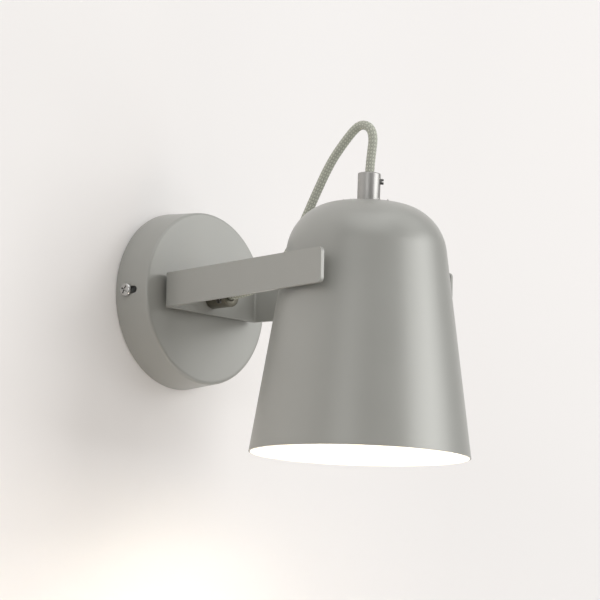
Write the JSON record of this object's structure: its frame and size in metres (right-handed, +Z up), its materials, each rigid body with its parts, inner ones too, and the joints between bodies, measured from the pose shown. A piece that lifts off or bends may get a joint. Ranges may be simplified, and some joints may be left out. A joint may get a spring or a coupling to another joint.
{
  "type": "wall reading lamp",
  "caption": "Wall reading lamp: round canopy, flat U yoke and tilting bell-shaped cone shade, fed by a short braided flex between two cord grips.",
  "frame": {"origin": "middle of the two wall slots, on the wall plane behind the canopy's centre", "axes": "+X right along the wall, -Y out into the room, +Z up"},
  "size_m": [0.1446, 0.2381, 0.223],
  "materials": {
    "painted_steel": "satin warm grey powder coat",
    "satin_nickel": "satin nickel plate",
    "zinc_steel": "zinc plate",
    "brass": "plain",
    "nylon": "moulded",
    "holder_plastic": "black thermoset",
    "holder_insert": "cream thermoset",
    "nickel_shell": "bright nickel plate",
    "block_plastic": "natural polyamide",
    "brown_core": "core insulation",
    "blue_core": "core insulation",
    "green_yellow_core": "core insulation",
    "braid": "woven grey-green braid",
    "bulb_shell": "white polycarbonate",
    "bulb_opal": "opal diffuser",
    "bulb_metal": "plain",
    "bulb_black": "cap insulator",
    "led_yellow": "phosphor"
  },
  "bodies": {
    "fixture": {"wall_bracket": "zinc_steel", "canopy_cover": "painted_steel", "canopy_screws": "zinc_steel", "earth_screw": "brass", "earth_tag": "brass", "terminal_block": "block_plastic", "terminal_tubes": "brass", "terminal_screws": "zinc_steel", "terminal_block_screw": "zinc_steel", "live_lead": "brown_core", "neutral_lead": "blue_core", "earth_lead": "green_yellow_core", "yoke_spacer": "painted_steel", "yoke": "painted_steel", "base_nipple": "zinc_steel", "base_lock_washer": "zinc_steel", "base_nipple_nut": "zinc_steel", "base_cord_grip": "satin_nickel", "base_grip_screw": "zinc_steel", "pivot_studs": "zinc_steel", "pivot_spacers": "nylon", "pivot_washers": "zinc_steel", "pivot_spring_washers": "zinc_steel", "pivot_lock_nuts": "zinc_steel", "flex_cord": "braid"},
    "shade_unit": {"shade": "painted_steel", "pivot_bushes": "nylon", "shade_nipple": "zinc_steel", "shade_lock_washer": "zinc_steel", "shade_nipple_nut": "zinc_steel", "shade_cord_grip": "satin_nickel", "shade_grip_screw": "zinc_steel", "lampholder_cap": "holder_plastic", "lampholder_skirt": "holder_plastic", "lampholder_insert": "holder_insert", "lampholder_screw_shell": "nickel_shell", "lampholder_centre_contact": "brass", "lampholder_terminals": "brass", "lampholder_terminal_screws": "zinc_steel", "lampholder_earth_tag": "brass", "lampholder_lock_nut": "zinc_steel", "lamp_live_lead": "brown_core", "lamp_neutral_lead": "blue_core", "lamp_earth_lead": "green_yellow_core", "bulb_contact": "brass", "bulb_insulator": "bulb_black", "bulb_cap": "bulb_metal", "bulb_housing": "bulb_shell", "bulb_diffuser": "bulb_opal", "bulb_led_board": "bulb_metal", "bulb_leds": "led_yellow"}
  },
  "joints": [
    {"name": "shade_tilt", "type": "hinge", "parent": "fixture", "child": "shade_unit", "pos_m": [0, -0.16875, 0], "axis": [1, 0, 0], "range_deg": [-50, 35], "deforming": ["flex_cord"]}
  ]
}
